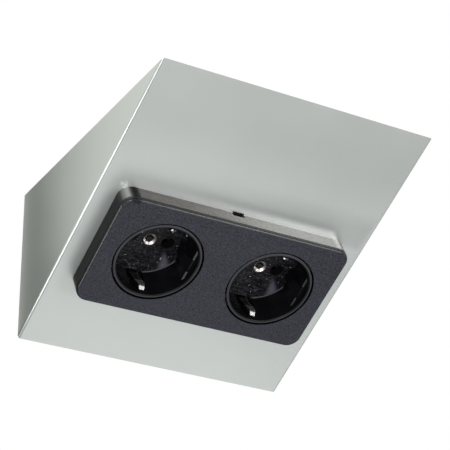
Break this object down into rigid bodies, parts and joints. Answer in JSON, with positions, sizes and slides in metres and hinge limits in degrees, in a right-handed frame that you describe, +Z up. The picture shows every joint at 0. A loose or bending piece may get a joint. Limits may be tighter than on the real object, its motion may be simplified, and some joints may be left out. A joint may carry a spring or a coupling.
{
  "type": "under-cabinet double socket",
  "caption": "Wedge-shaped satin steel housing for the corner under a wall cabinet, with two earthed sockets side by side in a dark cover on its sloping face.",
  "frame": {"origin": "centre of the four cabinet fixing holes, in the plane of the cabinet's underside", "axes": "+X to the user's right, +Y towards the wall, +Z up into the cabinet"},
  "size_m": [0.142, 0.143, 0.076],
  "materials": {
    "housing_steel": "fine satin",
    "zinc_steel": "zinc plated",
    "cover_plastic": "fine textured",
    "cup_plastic": "gloss moulded",
    "box_plastic": "plain moulded",
    "brass": "stamped",
    "nickel_bronze": "nickel plated strip",
    "nickel": "nickel plated",
    "grommet_rubber": "matt"
  },
  "bodies": {
    "root": {"housing": "housing_steel", "cabinet_angle_left": "zinc_steel", "cabinet_angle_right": "zinc_steel", "wall_angle_left": "zinc_steel", "wall_angle_right": "zinc_steel", "cover_frame": "cover_plastic", "carrier_frame": "zinc_steel", "socket_cup_left": "cup_plastic", "socket_cup_right": "cup_plastic", "centre_screw_left": "nickel", "centre_screw_right": "nickel", "earth_strap": "nickel_bronze", "contact_box": "box_plastic", "contact_box_lid": "box_plastic", "line_bar": "brass", "neutral_bar": "brass", "line_tulip_left": "brass", "line_tulip_right": "brass", "neutral_tulip_left": "brass", "neutral_tulip_right": "brass", "contact_rivets": "brass", "line_terminal": "brass", "neutral_terminal": "brass", "terminal_screws": "zinc_steel", "bonding_pillar": "brass", "bonding_screw": "zinc_steel", "earth_terminal_screw": "zinc_steel", "earth_clamp_plate": "zinc_steel", "module_screws": "zinc_steel", "carrier_screws": "zinc_steel", "carrier_nuts": "zinc_steel", "cable_grommet": "grommet_rubber"}
  },
  "joints": []
}
